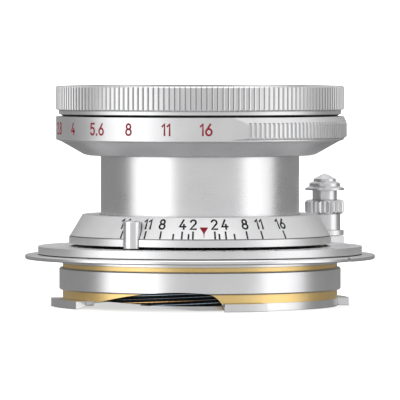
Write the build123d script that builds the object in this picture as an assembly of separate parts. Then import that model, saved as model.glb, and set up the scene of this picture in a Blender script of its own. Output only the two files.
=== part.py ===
"""Collapsible bayonet lens for a rangefinder camera, in millimetres.

The lens stands on its bayonet claws at z = 0 with its axis along +Z. Azimuths are in degrees about that axis,
0 towards the front (-Y) and rising towards the right (+X).
"""
import os
from math import atan2, cos, degrees, hypot, radians, sin, sqrt

from build123d import *

# Each pair below is (inner, outer) for radii and (bottom, top) for heights.

# Mount, fixed to the camera
THREAD_BORE_R = 18.5
SHELL_SEAT_R = 19.9
BAND_R = 20.4
LAND_R = 20.92
LAND_CHAMFER = 0.15
CLAW_R = 22.14
CLAW_RING_Z = (0.0, 1.16)
LOWER_BAND_Z = (1.16, 2.47)
LAND_Z = (2.47, 5.69)
UPPER_BAND_Z = (5.69, 6.4)
PLATE_R = (19.6, 26.0)
PLATE_Z = (6.98, 7.62)
PLATE_HUB_R = 20.6
PLATE_UNDERCUT = (21.0, 7.08)
PLATE_EDGE = 0.12
PLATE_NOTCH_AZIMUTH = 57.2
PLATE_NOTCH = (0.8, 2.4)
FLANGE_R = (19.05, 24.07)
FLANGE_HUB_R = 23.4
FLANGE_Z = (7.77, 8.87)
COLLAR_TOP = 8.6
SLEEVE_FOOT = 0.1
CLAW_SECTORS = ((-92.0, -55.0), (9.4, 26.3), (90.0, 118.0), (190.0, 215.0))
PLATE_SCREW = (0.3, 0.5, 0.35, 5.9)
PLATE_SCREW_CIRCLE = 20.0
PLATE_SCREW_START = 30.0
PLATE_SCREW_COUNT = 6

# Relief cut in the front of the mount
RELIEF_LEFT = -18.0
RELIEF_CREST = (-3.0, 2.78)
RELIEF_SHOULDER = (0.6, 2.62)
RELIEF_BEND = (2.68, 1.7)
RELIEF_RIGHT = 3.57
RELIEF_Y = (-30.0, -4.0)

# Slopes that lift the rims behind the relief towards the left: height at the axis, rise per millimetre
COUPLING_SLOPE = (0.05, 0.075)
HELICOID_SLOPE = (0.45, 0.05)

# Keyed coupling ring
COUPLING_R = (16.2, 16.9)
COUPLING_FLANGE_R = 18.0
COUPLING_Z = (0.1, 4.2)
COUPLING_FLANGE_TOP = 0.7
KEY_SIZE = (1.5, 2.0)
KEY_CENTRE_R = 18.25
KEYWAY = (2.06, 19.25, 3.5)
CLIP_R = (16.6, 17.22)
CLIP_Z = (3.5, 3.9)
CLIP_GROOVE = (17.3, 3.45, 3.95)
CLIP_GAP = 12.0

# Focus unit
HELICOID_R = 18.4
HELICOID_Z = (0.75, 12.6)
HELICOID_SEAT_R = 17.2
HELICOID_BORES = (16.95, 16.2, 16.95)
HELICOID_STEPS = (4.5, 9.9)
DEPTH_BAND_R = 19.47
DEPTH_BAND_Z = (9.29, 10.33)
CONE_R = (17.46, 19.32)
CONE_Z = (10.465, 13.57)
DEPTH_GROOVE = 0.3
DEPTH_LIP_R = 14.95
POST_AZIMUTH = -31.2
POST_R = 1.3
POST_GROOVE_R = 1.375
POST_CENTRE_R = 19.05
POST_Z = (9.05, 13.1)
POST_DOME = 0.3
POST_FOOT_CLEAR_R = 19.15
POST_GROOVE_TOP = 13.2
LEVER_Z = (9.87, 10.65)
LEVER_END_R = 2.9
LEVER_ROOT_R = 18.2
LEVER_HALF_WIDTH = 2.3
LEVER_SCREW = (0.45, 0.8, 0.3, 9.9)
LEVER_SCREW_SPOTS = ((20.35, -1.1), (20.35, 1.1))
FRICTION_WASHER_R = (15.1, 16.9)
FRICTION_WASHER_Z = (12.3, 12.6)
FELT_R = (14.8, 15.4)
FELT_Z = (12.85, 13.3)

# Knob at the end of the lever, with its sprung button
KNOB_R = 24.9
KNOB_AZIMUTH = 130.6
KNOB_POST_R = 2.38
KNOB_POST_Z = (10.65, 13.12)
KNOB_COLLAR_R = (1.95, 3.0)
KNOB_COLLAR_Z = (13.12, 15.24)
KNOB_COLLAR_CHAMFER = 0.35
KNOB_COLLAR_FLUTES = 24
KNOB_COLLAR_FLUTE_DEPTH = 0.26
KNOB_COLLAR_CREST = 0.2
BUTTON_NECK_R = 1.86
BUTTON_FOOT = 14.4
BUTTON_DISC_Z = (16.7, 17.0)
BUTTON_DISC_R = 2.95
BUTTON_TIERS = ((2.33, 17.3, 17.75), (1.69, 18.05, 18.4))
BUTTON_CROWN = (0.6, 19.0)
BUTTON_TIP = 19.25
LOCK_PIN_R = 0.6
LOCK_PIN_Z = (9.0, 14.4)
LOCK_SPRING = (1.25, 0.13, 13.12, 14.4, 4)
PIN_HOLE_R = 0.66

# Infinity catch on the edge of the flange
CATCH_R = (23.2, 26.4)
CATCH_HALF_ANGLE = 6.5
CATCH_Z = (7.62, 9.8)
CATCH_CHANNEL = 1.5

# Lock ring
LOCK_RING_R = (14.85, 16.1)
LOCK_RING_Z = (0.9, 12.25)
LOCK_FLANGE_R = 16.85
LOCK_FLANGE_Z = 9.95
GUIDE_GROOVE = (2.06, 15.62, 11.6)
GUIDE_COUNT = 3
GUIDE_AZIMUTH = 60.0

# Draw barrel
BARREL_R = (14.05, 14.75)
BARREL_Z = (6.0, 23.0)
GUIDE_KEY = (2.0, 0.8, 9.5, 11.5)
KEY_SCREW = (0.3, 0.55, 0.25)
SPIGOT_R = (13.3, 14.05)
SPIGOT_FOOT = 20.5
HOUSING_R = (14.0, 16.2)
HOUSING_FLOOR = (23.0, 23.6)
HOUSING_TOP = 29.07
IRIS_CLEAR_R = 9.5
DRIVE_SLOT_Z = (26.2, 27.3)
DRIVE_SLOT_ARC = (-116.5, -15.5)
COVER_R = (9.6, 14.0)
COVER_Z = (27.35, 27.85)
BEVEL_R = (16.2, 20.99)
BEVEL_Z = (28.22, 29.07)
BEVEL_CHAMFER = 0.55
FRONT_RING_R = 21.43
FRONT_RING_Z = (29.07, 32.65)
FRONT_RING_WEB = (15.0, 29.6)
FRONT_THREAD_R = 19.5
FRONT_THREAD_FOOT = 30.9
NAME_SEAT_R = 19.0
FRONT_RIM = (0.2, 0.15)
KNURL_COUNT = 170
KNURL_DEPTH = 0.17
KNURL_CREST = 0.55
NAME_RING_R = (14.95, 19.0)
NAME_RING_Z = (29.6, 30.4, 30.8)
FRONT_CELL_BORES = (10.6, 11.5, 13.2)
FRONT_CELL_R = (14.0, 14.9)
FRONT_CELL_Z = (27.9, 28.2, 29.0, 30.4)
FRONT_LOCK_R = (12.4, 13.2)
FRONT_LOCK_Z = (29.65, 30.25)
REAR_CELL_R = (10.0, 11.0, 13.3)
REAR_CELL_Z = (15.6, 22.4, 22.9)
REAR_SPACER_Z = (17.6, 19.6)
REAR_LOCK_Z = (15.8, 16.4)
BAFFLE_R = (10.5, 13.0, 14.05)
BAFFLE_Z = (6.0, 7.4)

# Glasses: radius, then the edge and centre heights of the lower face and of the upper face
FRONT_GLASS_RIM = 12.4
FRONT_GLASS = (13.2, 29.0, 29.35, 29.65, 30.8)
SECOND_GLASS = (11.5, 28.2, 28.6, 28.95, 29.2)
PAIR_FRONT_GLASS = (11.0, 20.9, 20.5, 22.4, 21.2)
PAIR_BACK_GLASS = (11.0, 19.6, 18.2, 20.9, 20.5)
REAR_GLASS = (11.0, 16.4, 15.4, 17.6, 17.9)

# Aperture ring
RING_BORES = (14.9, 16.3)
RING_FLOOR = (22.33, 22.93)
RING_UNDER_R = (16.6, 17.24)
RING_CONE_Z = (22.48, 24.41)
RING_CONE_R = 20.66
RING_R = 21.4
RING_BAND_Z = (24.67, 28.13)
LOBE_R = 21.84
LOBE_Z = (24.56, 25.16, 27.09, 28.13)
LOBE_UNDER_R = 20.95
LOBE_ROOT = 0.6
LOBE_RAMPS = (12.6, 19.0, 108.2, 114.6)
LOBE_FLUTES = 45
LOBE_FLUTE_PITCH = 2.0
LOBE_FLUTE_START = 19.6
LOBE_FLUTE_R = 0.2
LOBE_FLUTE_DEPTH = 0.26
LOBE_FLUTE_Z = (25.0, 27.35)
DRIVE_SCREW_R = 0.4
DRIVE_SCREW_SPAN = (13.3, 18.2)
DRIVE_SCREW_HEAD = (0.8, 17.4)
DRIVE_SCREW_Z = 26.75
DRIVE_SCREW_AZIMUTH = -19.3
CLICK_BALL_R = 0.6
CLICK_BALL_CENTRE = 15.63
CLICK_AZIMUTH = 150.0
CLICK_Z = 25.0
CLICK_HOLE_R = 0.66
CLICK_SPRING = (0.4, 0.1, 14.1, 15.0, 4)

# Iris: eight curved blades, each rising along its arc so that they interleave
BLADE_COUNT = 8
BLADE_ARC_R = 10.4
BLADE_EDGE_R = (9.4, 12.4)
BLADE_LIMIT_R = 13.85
BLADE_THICKNESS = 0.05
BLADE_SPAN = 158.0
BLADE_OVERHANG = 5.0
BLADE_PITCH = 5.6
BLADE_FOOT = 23.66
PIN_R = 0.3
PIN_HOLE_CLEARANCE = 0.05
PIVOT_PIN_FOOT = 23.05
DRIVE_PIN_TOP = 27.0
BLADE_TURN = 44.3
RING_TURN = 94.2
CAM_RING_R = (9.45, 13.95)
CAM_RING_Z = (26.36, 27.25)
CAM_SLOT_STEPS = 6

FRONT_AZIMUTH = 90.0
FULL_TURN = 360.0
THROUGH_Z = (0.0, 40.0)


def ring(*outline):
    """Turn a closed outline of (radius, height) points about the axis."""
    return revolve(make_face(Plane.XZ * Polyline(*outline, close=True)), Axis.Z)


def tube(radii, heights):
    inner, outer = radii
    bottom, top = heights
    return ring((inner, bottom), (outer, bottom), (outer, top), (inner, top))


def around(azimuth):
    """Turn something built along +X so that it faces the azimuth."""
    return Rot(0, 0, azimuth - FRONT_AZIMUTH)


def sector(solid_radius, heights, start, end):
    """A pie slice between two azimuths, from the axis out to the radius."""
    bottom, top = heights
    face = make_face(
        Plane.XZ * Polyline((0, bottom), (solid_radius, bottom), (solid_radius, top), (0, top), close=True)
    )
    return around(start) * revolve(face, Axis.Z, revolution_arc=end - start)


def rod(radius, bottom, top):
    return Pos(0, 0, bottom) * Cylinder(radius, top - bottom, align=(Align.CENTER, Align.CENTER, Align.MIN))


def block(x_span, width, heights):
    """A block along +X, centred across it."""
    bottom, top = heights
    length = x_span[1] - x_span[0]
    return Pos(x_span[0], 0, bottom) * Box(
        length, width, top - bottom, align=(Align.MIN, Align.CENTER, Align.MIN)
    )


def screw(shank_r, head_r, head_height, foot, top):
    """A slotted flat-head screw standing along +Z with its head flush at the top."""
    body = rod(shank_r, foot, top) + rod(head_r, top - head_height, top)
    slot = Pos(0, 0, top - head_height / 4) * Box(2 * head_r, head_r / 3, head_height / 2)
    return body - slot


def fluted(tip_r, root_r, count, heights, crest):
    """A disc whose edge is cut into equal V-shaped flutes, with flat crests of the given share of the pitch."""
    step = FULL_TURN / count
    points = []
    for index in range(count):
        for radius, share in ((tip_r, 0), (tip_r, crest), (root_r, (1 + crest) / 2)):
            turn = radians((index + share) * step)
            points.append((radius * cos(turn), radius * sin(turn)))
    bottom, top = heights
    return Pos(0, 0, bottom) * extrude(make_face(Polyline(*points, close=True)), top - bottom)


def coil(radius, wire_r, bottom, top, turns):
    """A compression spring along +Z between two heights."""
    length = top - bottom - 2 * wire_r
    path = Helix(length / turns, length, radius)
    return Pos(0, 0, bottom + wire_r) * sweep(Plane.XZ * Pos(radius, 0) * Circle(wire_r), path, is_frenet=True)


def lens_face(radius, edge, centre):
    """The arc of a spherical face from the axis to its edge."""
    bulge = centre - edge
    curvature = (radius**2 + bulge**2) / (2 * abs(bulge))
    middle_drop = curvature - sqrt(curvature**2 - radius**2 / 4)
    middle = centre - middle_drop if bulge > 0 else centre + middle_drop
    return ThreePointArc((0, centre), (radius / 2, middle), (radius, edge))


def glass(radius, lower_edge, lower_centre, upper_edge, upper_centre, rim=None):
    """A lens element, with a flat rim outside its curved upper face when rim is given."""
    curved = rim or radius
    upper = lens_face(curved, upper_edge, upper_centre)
    lower = lens_face(radius, lower_edge, lower_centre)
    rim_line = Line((radius, lower_edge), (radius, upper_edge))
    axis_line = Line((0, lower_centre), (0, upper_centre))
    outline = [upper, lower, rim_line, axis_line]
    if rim:
        outline.append(Line((rim, upper_edge), (radius, upper_edge)))
    return revolve(make_face(Plane.XZ * Curve(children=outline)), Axis.Z)


def relief_cut():
    """The notch that clears the focusing stop at the front of the mount."""
    left = (RELIEF_LEFT, -1)
    right = (RELIEF_RIGHT, -1)
    outline = (
        Line(left, (RELIEF_LEFT, 0))
        + ThreePointArc((RELIEF_LEFT, 0), RELIEF_CREST, RELIEF_SHOULDER)
        + ThreePointArc(RELIEF_SHOULDER, RELIEF_BEND, (RELIEF_RIGHT, 0))
        + Line((RELIEF_RIGHT, 0), right)
        + Line(right, left)
    )
    near, far = RELIEF_Y
    face = Plane(origin=(0, near, 0), x_dir=(1, 0, 0), z_dir=(0, -1, 0)) * make_face(outline)
    return extrude(face, near - far)


def rim_slope(height, rise):
    """The wedge that a sloped rim leaves open at the front left of the lens."""
    outline = Polyline((0, -1), (0, height), (-LAND_R, height + rise * LAND_R), (-LAND_R, -1), close=True)
    near, far = RELIEF_Y
    face = Plane(origin=(0, near, 0), x_dir=(1, 0, 0), z_dir=(0, -1, 0)) * make_face(outline)
    return extrude(face, near - far)


def mount_parts():
    relief = relief_cut()
    keyway_width, keyway_r, keyway_top = KEYWAY
    keyway = around(180) * block((THREAD_BORE_R - 1, keyway_r), keyway_width, (-1, keyway_top))
    shank_r, head_r, head_height, foot = PLATE_SCREW
    plate_screws = []
    screw_space = []
    for index in range(PLATE_SCREW_COUNT):
        place = around(PLATE_SCREW_START + index * FULL_TURN / PLATE_SCREW_COUNT) * Pos(PLATE_SCREW_CIRCLE, 0)
        plate_screws.append(place * screw(shank_r, head_r, head_height, foot, PLATE_Z[1]))
        screw_space.append(place * rod(shank_r, foot, PLATE_Z[1]))
        screw_space.append(place * rod(head_r, PLATE_Z[1] - head_height, PLATE_Z[1]))

    sleeve = ring(
        (THREAD_BORE_R, SLEEVE_FOOT),
        (SHELL_SEAT_R, SLEEVE_FOOT),
        (SHELL_SEAT_R, UPPER_BAND_Z[0]),
        (BAND_R, UPPER_BAND_Z[0]),
        (BAND_R, UPPER_BAND_Z[1]),
        (PLATE_R[0], UPPER_BAND_Z[1]),
        (PLATE_R[0], PLATE_Z[1]),
        (FLANGE_R[0], PLATE_Z[1]),
        (FLANGE_R[0], COLLAR_TOP),
        (THREAD_BORE_R, COLLAR_TOP),
    )
    plate_inner, plate_outer = PLATE_R
    plate_bottom, plate_top = PLATE_Z
    undercut_r, undercut_top = PLATE_UNDERCUT
    plate = ring(
        (plate_inner, UPPER_BAND_Z[1]),
        (PLATE_HUB_R, UPPER_BAND_Z[1]),
        (PLATE_HUB_R, undercut_top),
        (undercut_r, undercut_top),
        (undercut_r, plate_bottom),
        (plate_outer - PLATE_EDGE, plate_bottom),
        (plate_outer, plate_bottom + PLATE_EDGE),
        (plate_outer, plate_top - PLATE_EDGE),
        (plate_outer - PLATE_EDGE, plate_top),
        (plate_inner, plate_top),
    )
    notch_width, notch_depth = PLATE_NOTCH
    notch_span = (plate_outer - notch_depth, plate_outer + 1)
    notch = around(PLATE_NOTCH_AZIMUTH) * block(notch_span, notch_width, PLATE_Z)
    flange_inner, flange_outer = FLANGE_R
    flange_bottom, flange_top = FLANGE_Z
    flange = ring(
        (flange_inner, plate_top),
        (FLANGE_HUB_R, plate_top),
        (FLANGE_HUB_R, flange_bottom),
        (flange_outer, flange_bottom),
        (flange_outer, flange_top),
        (flange_inner, flange_top),
    )
    land_bottom, land_top = LAND_Z
    land = ring(
        (SHELL_SEAT_R, land_bottom),
        (LAND_R - LAND_CHAMFER, land_bottom),
        (LAND_R, land_bottom + LAND_CHAMFER),
        (LAND_R, land_top - LAND_CHAMFER),
        (LAND_R - LAND_CHAMFER, land_top),
        (SHELL_SEAT_R, land_top),
    )
    claws = tube((SHELL_SEAT_R, BAND_R), CLAW_RING_Z)
    for start, end in CLAW_SECTORS:
        claws += tube((SHELL_SEAT_R, CLAW_R), CLAW_RING_Z) & sector(CLAW_R + 1, CLAW_RING_Z, start, end)

    catch_inner, catch_outer = CATCH_R
    catch_start, catch_end = KNOB_AZIMUTH - CATCH_HALF_ANGLE, KNOB_AZIMUTH + CATCH_HALF_ANGLE
    catch_sector = sector(catch_outer + 1, THROUGH_Z, catch_start, catch_end)
    catch = tube((catch_inner, catch_outer), CATCH_Z) & catch_sector
    channel = tube(
        (KNOB_R - CATCH_CHANNEL / 2, KNOB_R + CATCH_CHANNEL / 2), (CATCH_Z[0] - 1, CATCH_Z[1] + 1)
    ) & sector(catch_outer + 1, THROUGH_Z, KNOB_AZIMUTH, catch_end + 1)
    pin_space = around(KNOB_AZIMUTH) * Pos(KNOB_R, 0) * rod(CATCH_CHANNEL / 2, CATCH_Z[0] - 1, CATCH_Z[1] + 1)
    catch -= channel + pin_space
    flange -= tube((catch_inner, catch_outer), CATCH_Z) & catch_sector

    return {
        "mount_plate": plate - notch - screw_space,
        "distance_flange": flange,
        "mount_sleeve": sleeve - relief - keyway - screw_space,
        "lower_band": tube((SHELL_SEAT_R, BAND_R), LOWER_BAND_Z) - relief,
        "bayonet_land": land - relief,
        "bayonet_claws": claws - relief,
        "plate_screws": Compound(children=plate_screws),
        "infinity_catch": catch,
    }


def coupling_parts():
    inner, outer = COUPLING_R
    bottom, top = COUPLING_Z
    key_length, key_width = KEY_SIZE
    clip_inner, clip_outer = CLIP_R
    sleeve = ring(
        (inner, bottom),
        (COUPLING_FLANGE_R, bottom),
        (COUPLING_FLANGE_R, COUPLING_FLANGE_TOP),
        (outer, COUPLING_FLANGE_TOP),
        (outer, CLIP_Z[0]),
        (clip_inner, CLIP_Z[0]),
        (clip_inner, CLIP_Z[1]),
        (outer, CLIP_Z[1]),
        (outer, top),
        (inner, top),
    )
    key_span = (KEY_CENTRE_R - key_length / 2, KEY_CENTRE_R + key_length / 2)
    key = around(180) * block(key_span, key_width, (bottom, COUPLING_FLANGE_TOP))
    return {
        "coupling_ring": sleeve - key - rim_slope(*COUPLING_SLOPE),
        "coupling_key": key,
        "coupling_circlip": tube((clip_inner, clip_outer), CLIP_Z)
        - sector(clip_outer + 1, THROUGH_Z, -CLIP_GAP / 2, CLIP_GAP / 2),
    }


def lever_shape(heights):
    """The lever's outline between two heights, facing the knob's azimuth."""
    bottom, top = heights
    arm = block((LEVER_ROOT_R, KNOB_R), 2 * LEVER_HALF_WIDTH, heights)
    return arm + Pos(KNOB_R, 0) * rod(LEVER_END_R, bottom, top)


def focus_parts():
    lower_bore, middle_bore, upper_bore = HELICOID_BORES
    lower_step, upper_step = HELICOID_STEPS
    foot, head = HELICOID_Z
    groove_r, groove_bottom, groove_top = CLIP_GROOVE
    helicoid = ring(
        (lower_bore, foot),
        (HELICOID_R, foot),
        (HELICOID_R, DEPTH_BAND_Z[0]),
        (HELICOID_SEAT_R, DEPTH_BAND_Z[0]),
        (HELICOID_SEAT_R, head),
        (upper_bore, head),
        (upper_bore, upper_step),
        (middle_bore, upper_step),
        (middle_bore, lower_step),
        (lower_bore, lower_step),
        (lower_bore, groove_top),
        (groove_r, groove_top),
        (groove_r, groove_bottom),
        (lower_bore, groove_bottom),
    )
    cone_top_r, cone_foot_r = CONE_R
    cone_foot, cone_top = CONE_Z
    band_bottom, band_top = DEPTH_BAND_Z
    felt_outer = FELT_R[1]
    felt_bottom, felt_top = FELT_Z
    depth = ring(
        (HELICOID_SEAT_R, band_bottom),
        (DEPTH_BAND_R, band_bottom),
        (DEPTH_BAND_R, band_top),
        (DEPTH_BAND_R - DEPTH_GROOVE, band_top),
        (DEPTH_BAND_R - DEPTH_GROOVE, cone_foot),
        (cone_foot_r, cone_foot),
        (cone_top_r, cone_top),
        (DEPTH_LIP_R, cone_top),
        (DEPTH_LIP_R, felt_top),
        (felt_outer, felt_top),
        (felt_outer, felt_bottom),
        (DEPTH_LIP_R, felt_bottom),
        (DEPTH_LIP_R, head),
        (HELICOID_SEAT_R, head),
    )
    post_place = around(POST_AZIMUTH) * Pos(POST_CENTRE_R, 0)
    post_bottom, post_top = POST_Z
    post = fillet(rod(POST_R, post_bottom, post_top).edges().sort_by(Axis.Z)[-1], POST_DOME)
    post = post_place * post - rod(HELICOID_SEAT_R, *THROUGH_Z) - rod(POST_FOOT_CLEAR_R, 0, band_bottom)
    depth -= post_place * rod(POST_GROOVE_R, 0, POST_GROOVE_TOP)

    knob_place = around(KNOB_AZIMUTH) * Pos(KNOB_R, 0)
    lever = around(KNOB_AZIMUTH) * lever_shape(LEVER_Z)
    depth -= lever
    shank_r, head_r, head_height, screw_foot = LEVER_SCREW
    screws = []
    screw_space = []
    for reach, side in LEVER_SCREW_SPOTS:
        place = around(KNOB_AZIMUTH) * Pos(reach, side)
        screws.append(place * screw(shank_r, head_r, head_height, screw_foot, LEVER_Z[1]))
        screw_space.append(place * rod(shank_r, screw_foot, LEVER_Z[1]))
        screw_space.append(place * rod(head_r, LEVER_Z[1] - head_height, LEVER_Z[1]))
    lever = lever - screw_space - knob_place * rod(PIN_HOLE_R, *THROUGH_Z)

    collar_inner, collar_outer = KNOB_COLLAR_R
    collar_bottom, collar_top = KNOB_COLLAR_Z
    edge = KNOB_COLLAR_CHAMFER
    collar_limit = ring(
        (0, collar_bottom),
        (collar_outer - edge, collar_bottom),
        (collar_outer, collar_bottom + edge),
        (collar_outer, collar_top - edge),
        (collar_outer - edge, collar_top),
        (0, collar_top),
    )
    collar_root = collar_outer - KNOB_COLLAR_FLUTE_DEPTH
    collar = fluted(collar_outer, collar_root, KNOB_COLLAR_FLUTES, KNOB_COLLAR_Z, KNOB_COLLAR_CREST)
    collar = (collar & collar_limit) - rod(collar_inner, *THROUGH_Z)

    knob_post = rod(KNOB_POST_R, *KNOB_POST_Z) - rod(PIN_HOLE_R, *THROUGH_Z)
    return {
        "helicoid_sleeve": helicoid - rim_slope(*HELICOID_SLOPE),
        "depth_ring": depth,
        "focus_stop_post": post,
        "focus_lever": lever,
        "lever_screws": Compound(children=screws),
        "knob_post": knob_place * knob_post,
        "knob_collar": knob_place * collar,
        "friction_washer": tube(FRICTION_WASHER_R, FRICTION_WASHER_Z),
        "felt_seal": tube(FELT_R, FELT_Z),
    }


def button_parts():
    disc_bottom, disc_top = BUTTON_DISC_Z
    profile = [(0, BUTTON_FOOT), (BUTTON_NECK_R, BUTTON_FOOT), (BUTTON_NECK_R, disc_bottom)]
    profile += [(BUTTON_DISC_R, disc_bottom), (BUTTON_DISC_R, disc_top)]
    for tier_r, tier_foot, tier_top in BUTTON_TIERS:
        profile += [(tier_r, tier_foot), (tier_r, tier_top)]
    profile += [BUTTON_CROWN, (0, BUTTON_TIP)]
    place = around(KNOB_AZIMUTH) * Pos(KNOB_R, 0)
    return {
        "lock_button": place * ring(*profile),
        "lock_pin": place * rod(LOCK_PIN_R, *LOCK_PIN_Z),
        "lock_spring": place * coil(*LOCK_SPRING),
    }


def lock_ring_parts():
    inner, outer = LOCK_RING_R
    bottom, top = LOCK_RING_Z
    body = ring(
        (inner, bottom),
        (outer, bottom),
        (outer, LOCK_FLANGE_Z),
        (LOCK_FLANGE_R, LOCK_FLANGE_Z),
        (LOCK_FLANGE_R, top),
        (inner, top),
    )
    width, groove_r, groove_top = GUIDE_GROOVE
    for index in range(GUIDE_COUNT):
        groove = block((inner - 1, groove_r), width, (0, groove_top))
        body -= around(GUIDE_AZIMUTH + index * FULL_TURN / GUIDE_COUNT) * groove
    return {"lock_ring": body}


def blade_turn_point(turn):
    """Where a blade's drive pin stands, for a pivot on +X and a blade turned this far from the open iris."""
    half_span = radians(BLADE_SPAN / 2)
    chord = 2 * BLADE_ARC_R * sin(half_span)
    lean = radians(turn) - radians(90 - BLADE_SPAN / 2)
    return BLADE_ARC_R - chord * cos(lean), -chord * sin(lean)


def cam_slot():
    """The path one drive pin takes in the cam ring, for a blade whose pivot is on +X."""
    width = 2 * (PIN_R + PIN_HOLE_CLEARANCE)
    bottom, top = CAM_RING_Z[0] - 1, CAM_RING_Z[1] + 1
    points = []
    for step in range(CAM_SLOT_STEPS + 1):
        share = step / CAM_SLOT_STEPS
        x, y = blade_turn_point(share * BLADE_TURN)
        bearing = atan2(y, x) + radians((1 - share) * RING_TURN)
        points.append((hypot(x, y) * cos(bearing), hypot(x, y) * sin(bearing)))
    slot = Pos(*points[0]) * rod(width / 2, bottom, top)
    for (x1, y1), (x2, y2) in zip(points, points[1:]):
        length = hypot(x2 - x1, y2 - y1)
        turn = Rot(0, 0, degrees(atan2(y2 - y1, x2 - x1)))
        slot += Pos(x1, y1) * turn * block((0, length), width, (bottom, top))
        slot += Pos(x2, y2) * rod(width / 2, bottom, top)
    return slot


def iris_blade():
    """One blade of the closed iris, with its pivot on +X and rising anticlockwise to its drive pin."""
    rise_per_degree = BLADE_PITCH / FULL_TURN
    span = BLADE_SPAN + 2 * BLADE_OVERHANG
    inner, outer = BLADE_EDGE_R
    path = Helix(BLADE_PITCH, span * rise_per_degree, BLADE_ARC_R)
    section = Plane.XZ * Pos((inner + outer) / 2, 0) * Rectangle(outer - inner, BLADE_THICKNESS)
    ribbon = Pos(0, 0, BLADE_FOOT) * Rot(0, 0, -BLADE_OVERHANG) * sweep(section, path, is_frenet=True)
    pivot_z = BLADE_FOOT + BLADE_OVERHANG * rise_per_degree
    drive_z = BLADE_FOOT + (BLADE_OVERHANG + BLADE_SPAN) * rise_per_degree
    x, y = blade_turn_point(0)
    pivot_pin = Pos(BLADE_ARC_R, 0) * rod(PIN_R, PIVOT_PIN_FOOT, pivot_z)
    drive_pin = Pos(x, y) * rod(PIN_R, drive_z, DRIVE_PIN_TOP)
    closed = Pos(BLADE_ARC_R, 0) * Rot(0, 0, BLADE_TURN) * Pos(-BLADE_ARC_R, 0)
    return (closed * (ribbon + pivot_pin + drive_pin)) & rod(BLADE_LIMIT_R, *THROUGH_Z)


def aperture_parts():
    bore_low, bore = RING_BORES
    floor_bottom, floor_top = RING_FLOOR
    under_inner, under_outer = RING_UNDER_R
    cone_bottom, cone_top = RING_CONE_Z
    band_bottom, band_top = RING_BAND_Z
    body = ring(
        (bore_low, floor_bottom),
        (under_inner, floor_bottom),
        (under_outer, cone_bottom),
        (RING_CONE_R, cone_top),
        (RING_R, band_bottom),
        (RING_R, band_top),
        (bore, band_top),
        (bore, floor_top),
        (bore_low, floor_top),
    )
    ramp_start, lobe_start, lobe_end, ramp_end = LOBE_RAMPS

    def on_circle(radius, azimuth):
        return radius * sin(radians(azimuth)), -radius * cos(radians(azimuth))

    root_r = RING_R - LOBE_ROOT
    lobe_middle = (lobe_start + lobe_end) / 2
    outline = (
        Line(on_circle(root_r, ramp_start), on_circle(RING_R, ramp_start))
        + Line(on_circle(RING_R, ramp_start), on_circle(LOBE_R, lobe_start))
        + ThreePointArc(
            on_circle(LOBE_R, lobe_start), on_circle(LOBE_R, lobe_middle), on_circle(LOBE_R, lobe_end)
        )
        + Line(on_circle(LOBE_R, lobe_end), on_circle(RING_R, ramp_end))
        + Line(on_circle(RING_R, ramp_end), on_circle(root_r, ramp_end))
        + ThreePointArc(
            on_circle(root_r, ramp_end), on_circle(root_r, lobe_middle), on_circle(root_r, ramp_start)
        )
    )
    lobe_foot, lobe_low, lobe_high, lobe_top = LOBE_Z
    lobe = Pos(0, 0, lobe_foot) * extrude(make_face(outline), lobe_top - lobe_foot)
    limit = ring(
        (bore, lobe_foot),
        (LOBE_UNDER_R, lobe_foot),
        (LOBE_R, lobe_low),
        (LOBE_R, lobe_high),
        (RING_R, lobe_top),
        (bore, lobe_top),
    )
    flutes = []
    flute_centre = LOBE_R + LOBE_FLUTE_R - LOBE_FLUTE_DEPTH
    for index in range(LOBE_FLUTES):
        place = around(LOBE_FLUTE_START + index * LOBE_FLUTE_PITCH) * Pos(flute_centre, 0)
        flutes.append(place * rod(LOBE_FLUTE_R, *LOBE_FLUTE_Z))
    body = (body + (lobe & limit)) - flutes

    head_r, head_foot = DRIVE_SCREW_HEAD
    screw_foot, screw_top = DRIVE_SCREW_SPAN
    radial = around(DRIVE_SCREW_AZIMUTH) * Pos(0, 0, DRIVE_SCREW_Z) * Rot(0, 90, 0)
    drive = radial * (rod(DRIVE_SCREW_R, screw_foot, screw_top) + rod(head_r, head_foot, screw_top))
    cam = tube(CAM_RING_R, CAM_RING_Z)
    slot = cam_slot()
    for index in range(BLADE_COUNT):
        cam -= Rot(0, 0, index * FULL_TURN / BLADE_COUNT) * slot
    return {"aperture_ring": body - drive, "iris_cam_ring": cam - drive, "drive_screw": drive}


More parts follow.
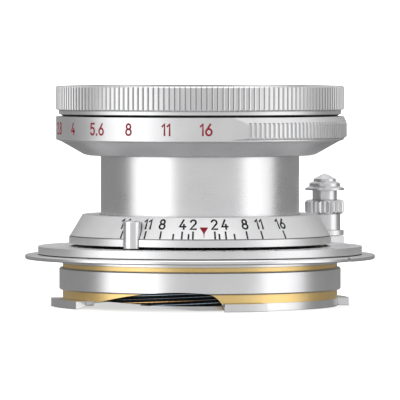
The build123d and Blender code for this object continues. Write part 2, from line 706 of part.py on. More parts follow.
def barrel_parts():
    inner, outer = BARREL_R
    bottom, top = BARREL_Z
    key_width, key_depth, key_bottom, key_top = GUIDE_KEY
    shank_r, head_r, head_height = KEY_SCREW
    keys = []
    screws = []
    screw_space = []
    for index in range(GUIDE_COUNT):
        place = around(GUIDE_AZIMUTH + index * FULL_TURN / GUIDE_COUNT)
        keys.append(place * block((outer, outer + key_depth), key_width, (key_bottom, key_top)))
        radial = place * Pos(0, 0, (key_bottom + key_top) / 2) * Rot(0, 90, 0)
        screws.append(radial * screw(shank_r, head_r, head_height, inner, outer + key_depth))
        screw_space.append(radial * rod(shank_r, inner, outer + key_depth))
        screw_space.append(radial * rod(head_r, outer + key_depth - head_height, outer + key_depth))
    shell = tube(BARREL_R, BARREL_Z) - keys - screw_space
    keys = [key - tube((0, outer), BARREL_Z) - screw_space for key in keys]

    spigot_inner, spigot_outer = SPIGOT_R
    housing_inner, housing_outer = HOUSING_R
    floor_bottom, floor_top = HOUSING_FLOOR
    housing = ring(
        (spigot_inner, SPIGOT_FOOT),
        (spigot_outer, SPIGOT_FOOT),
        (spigot_outer, floor_bottom),
        (housing_outer, floor_bottom),
        (housing_outer, HOUSING_TOP),
        (housing_inner, HOUSING_TOP),
        (housing_inner, floor_top),
        (IRIS_CLEAR_R, floor_top),
        (IRIS_CLEAR_R, floor_bottom),
        (spigot_inner, floor_bottom),
    )
    for index in range(BLADE_COUNT):
        place = Rot(0, 0, index * FULL_TURN / BLADE_COUNT) * Pos(BLADE_ARC_R, 0)
        housing -= place * rod(PIN_R + PIN_HOLE_CLEARANCE, floor_bottom - 1, floor_top + 1)
    slot_start, slot_end = DRIVE_SLOT_ARC
    drive_slot = tube((housing_inner - 1, housing_outer + 1), DRIVE_SLOT_Z)
    housing -= drive_slot & sector(RING_R, THROUGH_Z, slot_start, slot_end)
    click_place = around(CLICK_AZIMUTH) * Pos(0, 0, CLICK_Z) * Rot(0, 90, 0)
    spring_r, spring_wire, spring_foot, spring_top, spring_turns = CLICK_SPRING
    housing -= click_place * rod(CLICK_HOLE_R, spring_foot, housing_outer + 1)

    bevel_inner, bevel_outer = BEVEL_R
    bevel_bottom, bevel_top = BEVEL_Z
    bevel = ring(
        (bevel_inner, bevel_bottom),
        (bevel_outer - BEVEL_CHAMFER, bevel_bottom),
        (bevel_outer, bevel_bottom + BEVEL_CHAMFER / 2),
        (bevel_outer, bevel_top),
        (bevel_inner, bevel_top),
    )
    front_bottom, front_top = FRONT_RING_Z
    web_r, web_top = FRONT_RING_WEB
    top_rim, bottom_rim = FRONT_RIM
    front_limit = ring(
        (web_r, front_bottom),
        (FRONT_RING_R - bottom_rim, front_bottom),
        (FRONT_RING_R, front_bottom + bottom_rim),
        (FRONT_RING_R, front_top - top_rim),
        (FRONT_RING_R - top_rim, front_top),
        (FRONT_THREAD_R, front_top),
        (FRONT_THREAD_R, FRONT_THREAD_FOOT),
        (NAME_SEAT_R, FRONT_THREAD_FOOT),
        (NAME_SEAT_R, web_top),
        (web_r, web_top),
    )
    knurl = fluted(FRONT_RING_R, FRONT_RING_R - KNURL_DEPTH, KNURL_COUNT, FRONT_RING_Z, KNURL_CREST)
    name_inner, name_outer = NAME_RING_R
    name_bottom, name_dish, name_top = NAME_RING_Z

    lip_r, second_r, front_r = FRONT_CELL_BORES
    cell_low_r, cell_high_r = FRONT_CELL_R
    cell_foot, lip_top, second_top, cell_top = FRONT_CELL_Z
    front_cell = ring(
        (lip_r, cell_foot),
        (cell_low_r, cell_foot),
        (cell_low_r, HOUSING_TOP),
        (cell_high_r, HOUSING_TOP),
        (cell_high_r, cell_top),
        (front_r, cell_top),
        (front_r, second_top),
        (second_r, second_top),
        (second_r, lip_top),
        (lip_r, lip_top),
    )
    rear_lip_r, rear_bore_r, rear_outer_r = REAR_CELL_R
    rear_foot, rear_lip, rear_top = REAR_CELL_Z
    baffle_hole, baffle_seat, baffle_outer = BAFFLE_R
    baffle_bottom, baffle_top = BAFFLE_Z
    pair_back = glass(*PAIR_BACK_GLASS)
    rear_glass = glass(*REAR_GLASS)
    return {
        "barrel_tube": shell,
        "guide_keys": Compound(children=keys),
        "key_screws": Compound(children=screws),
        "iris_housing": housing,
        "iris_cover": tube(COVER_R, COVER_Z),
        "front_bevel_ring": bevel,
        "front_knurled_ring": knurl & front_limit,
        "name_ring": ring(
            (name_inner, name_bottom),
            (name_outer, name_bottom),
            (name_outer, name_top),
            (name_inner, name_dish),
        ),
        "front_cell": front_cell,
        "front_lock_ring": tube(FRONT_LOCK_R, FRONT_LOCK_Z),
        "front_glass": glass(*FRONT_GLASS, rim=FRONT_GLASS_RIM),
        "second_glass": glass(*SECOND_GLASS),
        "rear_cell": ring(
            (rear_bore_r, rear_foot),
            (rear_outer_r, rear_foot),
            (rear_outer_r, rear_top),
            (rear_lip_r, rear_top),
            (rear_lip_r, rear_lip),
            (rear_bore_r, rear_lip),
        ),
        "rear_spacer": tube((rear_lip_r, rear_bore_r), REAR_SPACER_Z) - pair_back - rear_glass,
        "rear_pair_front": glass(*PAIR_FRONT_GLASS),
        "rear_pair_back": pair_back,
        "rear_glass": rear_glass,
        "rear_lock_ring": tube((rear_lip_r, rear_bore_r), REAR_LOCK_Z) - rear_glass,
        "rear_baffle": ring(
            (baffle_hole, baffle_bottom),
            (baffle_outer, baffle_bottom),
            (baffle_outer, baffle_top),
            (baffle_seat, baffle_top),
        ),
        "click_ball": click_place * Pos(0, 0, CLICK_BALL_CENTRE) * Sphere(CLICK_BALL_R),
        "click_spring": click_place * coil(spring_r, spring_wire, spring_foot, spring_top, spring_turns),
    }


def blade_parts():
    blade = iris_blade()
    blades = {}
    for index in range(BLADE_COUNT):
        blades[f"iris_blade_{index + 1}"] = Rot(0, 0, index * FULL_TURN / BLADE_COUNT) * blade
    return blades


os.makedirs("parts", exist_ok=True)
groups = (
    mount_parts,
    coupling_parts,
    focus_parts,
    button_parts,
    lock_ring_parts,
    barrel_parts,
    aperture_parts,
    blade_parts,
)
for make_group in groups:
    for node, shape in make_group().items():
        export_step(shape, f"parts/{node}.step")
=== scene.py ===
"""Looks for the collapsible camera lens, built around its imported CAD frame. Lengths are in metres, row frame.

Azimuths are in degrees about the lens axis, 0 towards the front (-Y) and rising to the right (+X).
"""

from math import atan2, cos, degrees, pi, radians, sin

import bmesh
import bpy
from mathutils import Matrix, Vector


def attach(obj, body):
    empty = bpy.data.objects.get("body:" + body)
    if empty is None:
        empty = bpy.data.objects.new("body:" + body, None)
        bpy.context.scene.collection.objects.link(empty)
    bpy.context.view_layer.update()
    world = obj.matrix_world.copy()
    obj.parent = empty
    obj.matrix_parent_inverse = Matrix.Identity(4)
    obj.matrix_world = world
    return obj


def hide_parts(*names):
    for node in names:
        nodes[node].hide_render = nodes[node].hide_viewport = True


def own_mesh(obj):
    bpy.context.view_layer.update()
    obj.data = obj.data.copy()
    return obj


MM = 0.001

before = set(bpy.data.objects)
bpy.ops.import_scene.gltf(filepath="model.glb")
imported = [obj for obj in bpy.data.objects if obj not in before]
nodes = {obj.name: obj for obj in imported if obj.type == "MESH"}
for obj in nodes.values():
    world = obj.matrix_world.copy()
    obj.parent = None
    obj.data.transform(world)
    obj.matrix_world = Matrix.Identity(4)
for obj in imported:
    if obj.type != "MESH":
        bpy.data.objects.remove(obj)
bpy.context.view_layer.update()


# ---------------------------------------------------------------- materials

def tree_of(name):
    """A new material with its node tree and its Principled shader."""
    material = bpy.data.materials.new(name)
    material.use_nodes = True
    tree = material.node_tree
    return material, tree, tree.nodes["Principled BSDF"]


def add(tree, kind, **settings):
    node = tree.nodes.new(kind)
    for key, value in settings.items():
        setattr(node, key, value)
    return node


def math_node(tree, operation, first, second=None):
    node = add(tree, "ShaderNodeMath", operation=operation)
    for index, value in enumerate((first, second)):
        if value is None:
            continue
        if isinstance(value, (int, float)):
            node.inputs[index].default_value = value
        else:
            tree.links.new(value, node.inputs[index])
    return node.outputs[0]


def length_of(tree, x, y):
    """The length of a plane vector."""
    squares = math_node(tree, "ADD", math_node(tree, "MULTIPLY", x, x), math_node(tree, "MULTIPLY", y, y))
    return math_node(tree, "SQRT", squares)


LATHE_DRIFT = 0.00025


def turning_coordinates(tree, centre=(0.0, 0.0)):
    """Coordinates that change with the radius and the height but hardly with the angle, as lathe marks do."""
    source = add(tree, "ShaderNodeTexCoord")
    split = add(tree, "ShaderNodeSeparateXYZ")
    tree.links.new(source.outputs["Object"], split.inputs[0])
    x = math_node(tree, "SUBTRACT", split.outputs[0], centre[0])
    y = math_node(tree, "SUBTRACT", split.outputs[1], centre[1])
    radius = length_of(tree, x, y)
    angle = math_node(tree, "ARCTAN2", y, x)
    join = add(tree, "ShaderNodeCombineXYZ")
    tree.links.new(radius, join.inputs[0])
    tree.links.new(math_node(tree, "MULTIPLY", angle, LATHE_DRIFT), join.inputs[1])
    tree.links.new(split.outputs[2], join.inputs[2])
    return source, join


def noise(tree, vector, scale, detail=3.0, roughness=0.55):
    node = add(tree, "ShaderNodeTexNoise")
    node.inputs["Scale"].default_value = scale
    node.inputs["Detail"].default_value = detail
    node.inputs["Roughness"].default_value = roughness
    tree.links.new(vector, node.inputs["Vector"])
    return node.outputs["Fac"]


def ramp(tree, value, low, high, low_colour, high_colour):
    node = add(tree, "ShaderNodeValToRGB")
    node.color_ramp.elements[0].position = low
    node.color_ramp.elements[1].position = high
    node.color_ramp.elements[0].color = (*low_colour, 1)
    node.color_ramp.elements[1].color = (*high_colour, 1)
    tree.links.new(value, node.inputs[0])
    return node.outputs[0]


def spread(tree, value, low, high):
    """Map a 0 to 1 value onto a range."""
    node = add(tree, "ShaderNodeMapRange")
    node.clamp = False
    node.inputs["To Min"].default_value = low
    node.inputs["To Max"].default_value = high
    tree.links.new(value, node.inputs["Value"])
    return node.outputs[0]


WHITE = (1.0, 1.0, 1.0)
BLACK = (0.0, 0.0, 0.0)
# How far the painted crevice shade reaches, and its darkest colour.
SHADE_REACH = 0.35
CREVICE_SHADE_COLOUR = (0.22, 0.22, 0.21)
METAL_BUMP_HEIGHT = 0.02
COATING_BUMP_HEIGHT = 0.01


def painted_crevice_shade(tree):
    """Painted shade: white in the open, darkening into corners and gaps by how hidden they are."""
    openness = add(tree, "ShaderNodeAmbientOcclusion", samples=8)
    openness.inputs["Distance"].default_value = SHADE_REACH * MM
    return ramp(tree, openness.outputs["AO"], 0.4, 0.72, CREVICE_SHADE_COLOUR, WHITE)


def metal(name, colour, dark, roughness, marks=0.25, mark_scale=9000.0, centre=(0.0, 0.0),
          edge=0.05, grain=0.1):
    """Turned metal: fine lathe rings in the bump, uneven sheen, painted shade in the crevices and softened
    edges.
    """
    material, tree, shader = tree_of(name)
    source, turning = turning_coordinates(tree, centre)
    rings = noise(tree, turning.outputs[0], mark_scale, 4.0, 0.7)
    patches = noise(tree, source.outputs["Object"], 260.0, 4.0)
    grit = noise(tree, source.outputs["Object"], 16000.0, 2.0)
    shader.inputs["Metallic"].default_value = 1.0
    # Painted shade: the colour is multiplied darker in crevices and gaps, where occlusion says shade falls.
    shaded_colour = add(tree, "ShaderNodeMixRGB", blend_type="MULTIPLY")
    shaded_colour.inputs[0].default_value = 1.0
    tree.links.new(ramp(tree, patches, 0.3, 0.75, dark, colour), shaded_colour.inputs[1])
    tree.links.new(painted_crevice_shade(tree), shaded_colour.inputs[2])
    tree.links.new(shaded_colour.outputs[0], shader.inputs["Base Color"])
    low, high = roughness
    blend = math_node(tree, "MULTIPLY", math_node(tree, "ADD", patches, rings), 0.5)
    tree.links.new(spread(tree, blend, low, high), shader.inputs["Roughness"])
    rounding = add(tree, "ShaderNodeBevel", samples=6)
    rounding.inputs["Radius"].default_value = edge * MM
    ring_share = math_node(tree, "MULTIPLY", rings, 1 - grain)
    height = math_node(tree, "ADD", ring_share, math_node(tree, "MULTIPLY", grit, grain))
    bump = add(tree, "ShaderNodeBump")
    bump.inputs["Strength"].default_value = marks
    bump.inputs["Distance"].default_value = METAL_BUMP_HEIGHT * MM
    tree.links.new(height, bump.inputs["Height"])
    tree.links.new(rounding.outputs[0], bump.inputs["Normal"])
    tree.links.new(bump.outputs[0], shader.inputs["Normal"])
    return material


def coating(name, colour, speck, roughness, bump_strength=0.2, scale=7000.0, metallic=0.0):
    """Black finish, paint filling or felt: a fine grain with slightly uneven colour and gloss."""
    material, tree, shader = tree_of(name)
    source = add(tree, "ShaderNodeTexCoord")
    grain = noise(tree, source.outputs["Object"], scale, 4.0)
    patches = noise(tree, source.outputs["Object"], 300.0, 3.0)
    shader.inputs["Metallic"].default_value = metallic
    shader.inputs["Specular IOR Level"].default_value = 0.3
    tree.links.new(ramp(tree, patches, 0.35, 0.7, colour, speck), shader.inputs["Base Color"])
    low, high = roughness
    tree.links.new(spread(tree, grain, low, high), shader.inputs["Roughness"])
    bump = add(tree, "ShaderNodeBump")
    bump.inputs["Strength"].default_value = bump_strength
    bump.inputs["Distance"].default_value = COATING_BUMP_HEIGHT * MM
    tree.links.new(grain, bump.inputs["Height"])
    tree.links.new(bump.outputs[0], shader.inputs["Normal"])
    return material


def coated_glass(name):
    """Optical glass whose thin coating reflects a faint violet, with a trace of dust."""
    material, tree, shader = tree_of(name)
    source = add(tree, "ShaderNodeTexCoord")
    dust = noise(tree, source.outputs["Object"], 2600.0, 6.0, 0.8)
    shader.inputs["Base Color"].default_value = (0.95, 0.95, 0.97, 1)
    shader.inputs["Transmission Weight"].default_value = 1.0
    shader.inputs["IOR"].default_value = 1.6
    shader.inputs["Specular Tint"].default_value = (0.45, 0.32, 1.0, 1)
    dulled = ramp(tree, dust, 0.7, 0.95, (0.0, 0.0, 0.0), (0.12, 0.12, 0.12))
    tree.links.new(dulled, shader.inputs["Roughness"])
    return material


KNOB_R = 24.9
KNOB_AZIMUTH = 130.6
KNOB_CENTRE = (KNOB_R * MM * sin(radians(KNOB_AZIMUTH)), -KNOB_R * MM * cos(radians(KNOB_AZIMUTH)))

ring_chrome = metal("ring_chrome", (0.85, 0.85, 0.855), (0.79, 0.79, 0.8), (0.36, 0.46), 0.3, grain=0.5)
knurl_chrome = metal("knurl_chrome", (0.76, 0.76, 0.765), (0.7, 0.7, 0.71), (0.3, 0.4), 0.2, edge=0.02)
barrel_chrome = metal("barrel_chrome", (0.8, 0.8, 0.81), (0.75, 0.75, 0.76), (0.24, 0.32), 0.35, 14000.0)
mount_chrome = metal("mount_chrome", (0.83, 0.83, 0.84), (0.77, 0.77, 0.78), (0.24, 0.34), 0.25, 11000.0)
knob_chrome = metal("knob_chrome", (0.8, 0.8, 0.81), (0.72, 0.72, 0.73), (0.26, 0.38), 0.2, centre=KNOB_CENTRE)
brass = metal("brass", (0.97, 0.73, 0.34), (0.92, 0.64, 0.25), (0.3, 0.42), 0.35, 12000.0)
steel = metal("steel", (0.6, 0.6, 0.61), (0.48, 0.48, 0.49), (0.2, 0.32), 0.25)
alloy = metal("alloy", (0.66, 0.66, 0.66), (0.58, 0.58, 0.58), (0.3, 0.4), 0.3)
blade_steel = metal("blade_steel", (0.07, 0.07, 0.075), (0.04, 0.04, 0.045), (0.35, 0.5), 0.2)

# The helicoid: the rise of one turn, then its thread, in millimetres. Painted glints show on the crests below
# the height given last.
LEAD = 5.38
THREAD_STARTS = 11
THREAD_CREST_R = 18.4
THREAD_DEPTH = 0.2
GLINT_TOP = 7.0


def thread_with_painted_glints(name):
    """Blackened thread: dark in the grooves, with painted blue-grey and brass glints, standing in for
    reflections, along some of the crests.
    """
    material, tree, shader = tree_of(name)
    source = add(tree, "ShaderNodeTexCoord")
    split = add(tree, "ShaderNodeSeparateXYZ")
    tree.links.new(source.outputs["Object"], split.inputs[0])
    x, y, z = split.outputs[0], split.outputs[1], split.outputs[2]
    radius = length_of(tree, x, y)
    angle = math_node(tree, "ARCTAN2", y, x)
    turn = math_node(tree, "MULTIPLY", angle, LEAD * MM / (2 * pi))
    thread = math_node(tree, "MULTIPLY", math_node(tree, "SUBTRACT", z, turn), THREAD_STARTS / (LEAD * MM))
    join = add(tree, "ShaderNodeCombineXYZ")
    tree.links.new(thread, join.inputs[0])
    tree.links.new(math_node(tree, "MULTIPLY", angle, 0.35), join.inputs[1])
    # Painted reflections: blue-grey and brass bands along the thread stand in for glints of light.
    tint = add(tree, "ShaderNodeValToRGB")
    stops = tint.color_ramp.elements
    stops[0].position, stops[0].color = 0.38, (0.03, 0.03, 0.035, 1)
    stops[1].position, stops[1].color = 0.5, (0.3, 0.38, 0.46, 1)
    for position, colour in ((0.57, (0.05, 0.05, 0.055, 1)), (0.64, (0.75, 0.45, 0.2, 1))):
        stops.new(position).color = colour
    tree.links.new(noise(tree, join.outputs[0], 1.1, 2.0), tint.inputs[0])
    crest = add(tree, "ShaderNodeMapRange")
    crest.inputs["From Min"].default_value = (THREAD_CREST_R - 0.6 * THREAD_DEPTH) * MM
    crest.inputs["From Max"].default_value = (THREAD_CREST_R - 0.1 * THREAD_DEPTH) * MM
    tree.links.new(radius, crest.inputs["Value"])
    # The painted glints fade out towards the top of the sleeve.
    glint_fade = add(tree, "ShaderNodeMapRange")
    glint_fade.inputs["From Min"].default_value = GLINT_TOP * MM
    glint_fade.inputs["From Max"].default_value = (GLINT_TOP - 1) * MM
    tree.links.new(z, glint_fade.inputs["Value"])
    mix = add(tree, "ShaderNodeMixRGB")
    mix.inputs[1].default_value = (0.012, 0.012, 0.013, 1)
    tree.links.new(math_node(tree, "MULTIPLY", crest.outputs[0], glint_fade.outputs[0]), mix.inputs[0])
    tree.links.new(tint.outputs[0], mix.inputs[2])
    tree.links.new(mix.outputs[0], shader.inputs["Base Color"])
    shader.inputs["Metallic"].default_value = 1.0
    grit = noise(tree, source.outputs["Object"], 9000.0)
    tree.links.new(spread(tree, grit, 0.16, 0.3), shader.inputs["Roughness"])
    bump = add(tree, "ShaderNodeBump")
    bump.inputs["Strength"].default_value = 0.15
    bump.inputs["Distance"].default_value = COATING_BUMP_HEIGHT * MM
    tree.links.new(grit, bump.inputs["Height"])
    tree.links.new(bump.outputs[0], shader.inputs["Normal"])
    return material


thread_black = thread_with_painted_glints("thread_black")
black = coating("black", (0.012, 0.012, 0.013), (0.02, 0.02, 0.021), (0.45, 0.6))
felt = coating("felt", (0.012, 0.012, 0.012), (0.03, 0.03, 0.03), (0.9, 1.0), 0.8, 3000.0)
red_fill = coating("red_fill", (0.2, 0.0, 0.012), (0.25, 0.0, 0.018), (0.5, 0.65))
black_fill = coating("black_fill", (0.006, 0.006, 0.006), (0.01, 0.01, 0.01), (0.5, 0.65))
lens_glass = coated_glass("lens_glass")

FINISHES = {
    ring_chrome: ("distance_flange", "depth_ring", "aperture_ring", "front_bevel_ring", "focus_lever"),
    knurl_chrome: ("front_knurled_ring",),
    barrel_chrome: ("barrel_tube",),
    mount_chrome: ("mount_plate", "bayonet_land", "bayonet_claws", "focus_stop_post"),
    knob_chrome: ("knob_post", "knob_collar", "lock_button"),
    brass: ("mount_sleeve", "lower_band", "friction_washer"),
    steel: ("plate_screws", "infinity_catch", "coupling_key", "coupling_circlip", "lever_screws",
            "lock_spring", "lock_pin", "guide_keys", "key_screws", "click_ball", "click_spring", "drive_screw"),
    alloy: ("coupling_ring", "lock_ring", "iris_cam_ring"),
    black: ("iris_housing", "iris_cover", "name_ring", "front_cell", "front_lock_ring",
            "rear_cell", "rear_spacer", "rear_lock_ring", "rear_baffle"),
    thread_black: ("helicoid_sleeve",),
    felt: ("felt_seal",),
    lens_glass: ("front_glass", "second_glass", "rear_pair_front", "rear_pair_back", "rear_glass"),
    blade_steel: tuple(name for name in nodes if name.startswith("iris_blade_")),
}
for material, names in FINISHES.items():
    for name in names:
        mesh = nodes[name].data
        mesh.materials.clear()
        mesh.materials.append(material)


# ---------------------------------------------------------------- mesh helpers

def new_object(name, mesh, material, body):
    mesh.materials.clear()
    mesh.materials.append(material)
    obj = bpy.data.objects.new(name, mesh)
    bpy.context.scene.collection.objects.link(obj)
    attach(obj, body)
    return obj


def surface_point(u, v, w, azimuth, foot_r, foot_z, lean):
    """A point u along, v up and w out of a turned surface that leans in by lean degrees, in millimetres."""
    slope = radians(lean)
    radius = foot_r - v * sin(slope) + w * cos(slope)
    height = foot_z + v * cos(slope) + w * sin(slope)
    turn = radians(azimuth) + u / max(foot_r - v * sin(slope), 1)
    return Vector((radius * sin(turn) * MM, -radius * cos(turn) * MM, height * MM))


def arc(centre_x, centre_y, radius_x, radius_y, start, end, steps=14):
    """Points on an ellipse between two angles in degrees."""
    turns = [radians(start + (end - start) * step / steps) for step in range(steps + 1)]
    return [(centre_x + radius_x * cos(turn), centre_y + radius_y * sin(turn)) for turn in turns]


# Engraver's numerals one unit high: the width of each, then the lines the cutter follows.
NUMERALS = {
    "0": (0.5, [arc(0.25, 0.5, 0.25, 0.5, 90, 450, 24)]),
    "1": (0.2, [[(0.0, 0.8), (0.2, 1.0), (0.2, 0.0)]]),
    "2": (0.52, [arc(0.26, 0.73, 0.25, 0.27, 165, -38) + [(0.01, 0.0), (0.53, 0.0)]]),
    "3": (0.5, [arc(0.24, 0.75, 0.22, 0.25, 150, -90) + arc(0.24, 0.26, 0.26, 0.26, 85, -150)]),
    "4": (0.55, [[(0.33, 1.0), (0.0, 0.27), (0.56, 0.27)], [(0.39, 0.5), (0.39, 0.0)]]),
    "5": (0.5, [[(0.47, 1.0), (0.08, 1.0), (0.04, 0.56)] + arc(0.24, 0.32, 0.26, 0.32, 118, -150)]),
    "6": (0.52, [[(0.4, 1.0), (0.04, 0.42)], arc(0.26, 0.29, 0.26, 0.29, 90, 450, 24)]),
    "8": (0.52, [arc(0.26, 0.76, 0.21, 0.24, 90, 450, 24), arc(0.26, 0.27, 0.26, 0.27, 90, 450, 24)]),
    ".": (0.06, [[(0.03, -0.02), (0.03, 0.06)]]),
    "∞": (1.3, [arc(0.3, 0.5, 0.3, 0.32, 45, 315, 16) + arc(1.0, 0.5, 0.3, 0.32, -135, 135, 16)
                + [(0.51, 0.27)]]),
}
LETTER_GAP = 0.28
LONGEST_MITRE = 1.6
STROKE_OVERRUN = 0.8


def stroke_outline(points, half_width):
    """The quads of a line of constant width that follows the points."""
    sides = []
    for index, (x, y) in enumerate(points):
        before = points[max(index - 1, 0)]
        after = points[min(index + 1, len(points) - 1)]
        run_in = Vector((x - before[0], y - before[1])).normalized()
        run_out = Vector((after[0] - x, after[1] - y)).normalized()
        along = (run_in + run_out).normalized()
        mitre = min(LONGEST_MITRE, 1 / max(0.3, along.dot(run_out if index == 0 else run_in)))
        side = Vector((-along.y, along.x)) * half_width * mitre
        # A stroke runs a little past its first and last points, as a round cutter does.
        reach = along * half_width * ((index == len(points) - 1) - (index == 0)) * STROKE_OVERRUN
        middle = Vector((x, y)) + reach
        sides.append((tuple(middle + side), tuple(middle - side)))
    return sides


def solid_strip(mesh_data, sides):
    """Add a strip of quads with a lower and an upper skin to the vertex and face lists."""
    vertices, faces = mesh_data
    base = len(vertices)
    for left, right in sides:
        vertices += [(*left, -0.5), (*right, -0.5), (*left, 0.5), (*right, 0.5)]
    for index in range(len(sides) - 1):
        a = base + 4 * index
        b = a + 4
        faces += [(a, a + 1, b + 1, b), (a + 2, b + 2, b + 3, a + 3)]
        faces += [(a, b, b + 2, a + 2), (a + 1, a + 3, b + 3, b + 1)]
    last = base + 4 * (len(sides) - 1)
    faces += [(base, base + 2, base + 3, base + 1), (last, last + 1, last + 3, last + 2)]


def flat_text(text, height, line):
    """A number cut with a line of the given width, centred on the origin, in millimetres."""
    total = sum(NUMERALS[letter][0] for letter in text) + LETTER_GAP * (len(text) - 1)
    start = -total / 2
    mesh_data = [], []
    for letter in text:
        width, strokes = NUMERALS[letter]
        for stroke in strokes:
            points = [((start + x) * height, y * height) for x, y in stroke]
            solid_strip(mesh_data, stroke_outline(points, line / 2))
        start += width + LETTER_GAP
    mesh = bpy.data.meshes.new("number")
    mesh.from_pydata(mesh_data[0], [], mesh_data[1])
    return mesh


def taper(*levels):
    """A mark made of widths at rising heights, centred on the origin, in millimetres."""
    mesh_data = [], []
    solid_strip(mesh_data, [((-width / 2, height), (width / 2, height)) for width, height in levels])
    mesh = bpy.data.meshes.new("mark")
    mesh.from_pydata(mesh_data[0], [], mesh_data[1])
    return mesh


LONG_EDGE = 0.5
WELD_DISTANCE = 1e-8


def engrave(name, marks, material, body, depth=0.03, proud=0.008):
    """Wrap flat marks on turned surfaces and join them into one filled engraving."""
    joined = bmesh.new()
    for mesh, lift, place in marks:
        part = bmesh.new()
        part.from_mesh(mesh)
        long_edges = [edge for edge in part.edges if edge.calc_length() > LONG_EDGE]
        bmesh.ops.subdivide_edges(part, edges=long_edges, cuts=2)
        for vertex in part.verts:
            u, v, side = vertex.co
            vertex.co = surface_point(u, v + lift, proud if side > 0 else -depth, *place)
        part_mesh = bpy.data.meshes.new("part")
        part.to_mesh(part_mesh)
        part.free()
        joined.from_mesh(part_mesh)
    bmesh.ops.remove_doubles(joined, verts=joined.verts, dist=WELD_DISTANCE)
    bmesh.ops.recalc_face_normals(joined, faces=joined.faces)
    result = bpy.data.meshes.new(name)
    joined.to_mesh(result)
    joined.free()
    return new_object(name, result, material, body)


# ---------------------------------------------------------------- scales

# Surfaces: azimuth comes first, then foot radius and height in millimetres and lean in degrees.
RING_FACE = (21.4, 25.5, 0.0)
CONE_FOOT = (19.32, 10.465, degrees(atan2(1.86, 3.105)))
FLANGE_TOP = (24.07, 8.87, 90.0)
INDEX_AZIMUTH = 1.75
STOP_STEP = 15.7
SIXTEEN_AZIMUTH = 2.4

NUMBER_LINE = 0.27
STOP_NUMBER = 1.6
DEPTH_NUMBER = 1.5
stops = ("16", "11", "8", "5.6", "4", "2.8", "2")
stop_marks = [
    (flat_text(text, STOP_NUMBER, NUMBER_LINE), 0.1, (SIXTEEN_AZIMUTH - STOP_STEP * index, *RING_FACE))
    for index, text in enumerate(stops)
]
engrave("aperture_numbers", stop_marks, red_fill, "aperture")

DEPTH_DEGREES_PER_STOP = 2.42
DEPTH_LINE = 0.25
NUMBERED_MARK_TOP = 1.33
PLAIN_MARK_TOP = 0.91
DEPTH_NUMBER_FOOT = 1.72
depth_marks = []
for stop, label in ((2, "2"), (2.8, ""), (4, "4"), (5.6, ""), (8, "8"), (11, "11"), (16, "16")):
    for side in (-1, 1):
        place = (INDEX_AZIMUTH + side * stop * DEPTH_DEGREES_PER_STOP, *CONE_FOOT)
        mark_top = NUMBERED_MARK_TOP if label else PLAIN_MARK_TOP
        depth_marks.append((taper((DEPTH_LINE, 0.02), (DEPTH_LINE, mark_top)), 0.0, place))
        if label:
            depth_marks.append((flat_text(label, DEPTH_NUMBER, NUMBER_LINE), DEPTH_NUMBER_FOOT, place))
engrave("depth_scale", depth_marks, black_fill, "focus_unit")

pointer = taper((0.04, 0.2), (0.16, 0.9), (0.3, 1.15), (1.27, 2.0))
engrave("depth_index", [(pointer, 0.0, (INDEX_AZIMUTH, *CONE_FOOT))], red_fill, "focus_unit")

FOCAL = 50.0
DISTANCE_LINE = 0.16
distance_mark = taper((DISTANCE_LINE, 3.0), (DISTANCE_LINE, 4.1))
infinity = (INDEX_AZIMUTH, *FLANGE_TOP)
distance_marks = [(distance_mark, 0.0, infinity), (flat_text("∞", 0.9, DISTANCE_LINE), 1.3, infinity)]
for metres in (20, 10, 6, 4, 3, 2, 1.5, 1.2, 1):
    # A lens moves out by this much to focus that near, in millimetres.
    reach = FOCAL**2 / (metres * 1000 - FOCAL)
    place = (INDEX_AZIMUTH + reach / LEAD * 360, *FLANGE_TOP)
    distance_marks.append((distance_mark, 0.0, place))
    distance_marks.append((flat_text(f"{metres:g}", 1.4, DISTANCE_LINE), 1.0, place))
engrave("distance_scale", distance_marks, black_fill, "mount")


# ---------------------------------------------------------------- helicoid with its cut thread

THREAD_FOOT = 0.75
THREAD_TOP = 9.2
SLEEVE_BORE_R = 16.95
FOOT_SLOPE = (0.45, 0.05)
FOOT_SLOPE_NEAR = -4.0
AROUND = 384
ROW = 0.04
# The walls past the thread, as radii and heights in millimetres: the neck outside, then down the inside.
TURNED_WALLS = (
    (17.2, 9.29),
    (17.2, 12.6),
    (16.95, 12.6),
    (16.95, 9.9),
    (16.2, 9.9),
    (16.2, 4.5),
    (SLEEVE_BORE_R, 4.5),
    (SLEEVE_BORE_R, THREAD_FOOT),
)


def above_slope(x, y, z):
    """Lift a point to the sloped rim at the front left of the sleeve."""
    height, rise = FOOT_SLOPE
    if x < 0 and y < FOOT_SLOPE_NEAR:
        return max(z, height - rise * x)
    return z


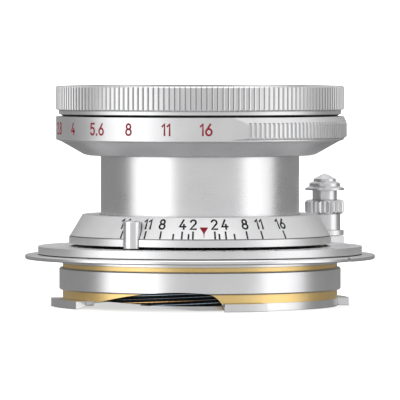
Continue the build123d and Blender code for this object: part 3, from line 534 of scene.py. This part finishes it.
def threaded_sleeve():
    """The sleeve's outer wall follows a right-hand thread of several starts. Its other walls are turned."""
    pitch = LEAD / THREAD_STARTS
    rows = int((THREAD_TOP - THREAD_FOOT) / ROW)
    rings = []
    for row in range(rows + 1):
        height = THREAD_FOOT + (THREAD_TOP - THREAD_FOOT) * row / rows
        ring = []
        for step in range(AROUND):
            turn = 2 * pi * step / AROUND
            phase = (height - LEAD * turn / (2 * pi)) / pitch % 1.0
            groove = THREAD_DEPTH * min(1.0, max(0.0, 1.5 - abs(phase - 0.5) * 4.0))
            if row in (0, rows):
                groove = THREAD_DEPTH
            ring.append((THREAD_CREST_R - groove, turn, height))
        rings.append(ring)
    for radius, height in TURNED_WALLS:
        rings.append([(radius, 2 * pi * step / AROUND, height) for step in range(AROUND)])
    vertices = []
    for ring in rings:
        for radius, turn, height in ring:
            x, y = radius * cos(turn), radius * sin(turn)
            vertices.append((x * MM, y * MM, above_slope(x, y, height) * MM))
    faces = []
    for index in range(len(rings)):
        above = (index + 1) % len(rings)
        for step in range(AROUND):
            after = (step + 1) % AROUND
            lower, upper = index * AROUND, above * AROUND
            faces.append((lower + step, lower + after, upper + after, upper + step))
    mesh = bpy.data.meshes.new("threaded_sleeve")
    mesh.from_pydata(vertices, [], faces)
    mesh.update()
    return mesh


sleeve = new_object("threaded_sleeve", threaded_sleeve(), thread_black, "focus_unit")
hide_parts("helicoid_sleeve")

# The lock spring gets a mesh of its own. On the lens it shortens as the button is pressed.
spring = new_object("button_spring", nodes["lock_spring"].data.copy(), steel, "focus_unit")
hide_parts("lock_spring")
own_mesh(spring)


# ---------------------------------------------------------------- studio

def stage_plane(name, corners, material):
    mesh = bpy.data.meshes.new(name)
    mesh.from_pydata(corners, [], [(0, 1, 2, 3)])
    mesh.materials.append(material)
    obj = bpy.data.objects.new(name, mesh)
    bpy.context.scene.collection.objects.link(obj)
    return obj


def paper(name, glow):
    """White paper that also glows, as if lit from behind."""
    material, tree, shader = tree_of(name)
    source = add(tree, "ShaderNodeTexCoord")
    fibre = noise(tree, source.outputs["Object"], 400.0)
    tone = ramp(tree, fibre, 0.3, 0.7, (0.9, 0.9, 0.9), (0.93, 0.93, 0.93))
    tree.links.new(tone, shader.inputs["Base Color"])
    shader.inputs["Roughness"].default_value = 0.9
    shader.inputs["Emission Color"].default_value = (1, 1, 1, 1)
    shader.inputs["Emission Strength"].default_value = glow
    return material


floor = [(-1.2, -1.2, 0), (1.2, -1.2, 0), (1.2, 1.6, 0), (-1.2, 1.6, 0)]
backdrop = [(-0.35, 1.6, 0), (0.35, 1.6, 0), (0.35, 1.6, 0.6), (-0.35, 1.6, 0.6)]
for name, corners, glow in (("floor", floor, 0.6), ("backdrop", backdrop, 1.0)):
    # The metal reflects the room light instead of these, as it does on a wide light table.
    stage_plane(name, corners, paper(f"{name}_paper", glow)).visible_glossy = False


LIGHT_AIM = Vector((0, 0, 0.02))


def softbox(name, azimuth, distance, height, width, tall, radiance):
    """A rectangular light that faces the lens from an azimuth."""
    light = bpy.data.lights.new(name, "AREA")
    light.shape = "RECTANGLE"
    light.size = width
    light.size_y = tall
    light.energy = radiance * pi * width * tall
    obj = bpy.data.objects.new(name, light)
    spot = Vector((distance * sin(radians(azimuth)), -distance * cos(radians(azimuth)), height))
    obj.location = spot
    obj.rotation_euler = (LIGHT_AIM - spot).to_track_quat("-Z", "Y").to_euler()
    bpy.context.scene.collection.objects.link(obj)


softbox("left_box", azimuth=-58, distance=0.7, height=0.1, width=0.72, tall=0.7, radiance=0.97)
softbox("right_box", azimuth=72, distance=0.7, height=0.1, width=0.56, tall=0.7, radiance=0.83)
softbox("top_box", azimuth=0, distance=0.05, height=0.8, width=0.8, tall=0.8, radiance=1.1)

# Room light: pale in front and above, darker behind and below.
FRONT_LEVEL = 0.76
BACK_LEVEL = 0.29
UPPER_LEVEL = 0.75
LOWER_LEVEL = 0.17
world = bpy.data.worlds.new("studio")
bpy.context.scene.world = world
world.use_nodes = True
tree = world.node_tree
direction = add(tree, "ShaderNodeTexCoord")
parts = add(tree, "ShaderNodeSeparateXYZ")
tree.links.new(direction.outputs["Generated"], parts.inputs[0])
backward = spread(tree, parts.outputs[1], 0.5, 1.0)
around_level = ramp(tree, backward, 0.25, 0.55, (FRONT_LEVEL,) * 3, (BACK_LEVEL,) * 3)
upward = ramp(tree, parts.outputs[2], 0.12, 0.5, BLACK, WHITE)
mix = add(tree, "ShaderNodeMixRGB")
mix.inputs[2].default_value = (UPPER_LEVEL,) * 3 + (1,)
tree.links.new(upward, mix.inputs[0])
tree.links.new(around_level, mix.inputs[1])
below = math_node(tree, "MULTIPLY", parts.outputs[2], -1.0)
downward = ramp(tree, below, 0.12, 0.5, BLACK, WHITE)
lower_mix = add(tree, "ShaderNodeMixRGB")
lower_mix.inputs[2].default_value = (LOWER_LEVEL,) * 3 + (1,)
tree.links.new(downward, lower_mix.inputs[0])
tree.links.new(mix.outputs[0], lower_mix.inputs[1])
tree.links.new(lower_mix.outputs[0], tree.nodes["Background"].inputs["Color"])

# The camera looks slightly down at the lens, and FIELD is the width it takes in at the lens axis.
EYE = Vector((0.0, -0.795, 0.0384))
AIM = Vector((0.0, 0.0, 0.01565))
FIELD = 0.05944
SENSOR = 36.0
camera_data = bpy.data.cameras.new("camera")
camera_data.sensor_width = SENSOR
camera_data.lens = SENSOR * (AIM - EYE).length / FIELD
camera_data.clip_start = 0.01
camera_data.clip_end = 20
camera = bpy.data.objects.new("camera", camera_data)
camera.location = EYE
camera.rotation_euler = (AIM - EYE).to_track_quat("-Z", "Y").to_euler()
bpy.context.scene.collection.objects.link(camera)
bpy.context.scene.camera = camera
bpy.context.scene.view_settings.view_transform = "Standard"
bpy.context.scene.view_settings.look = "None"
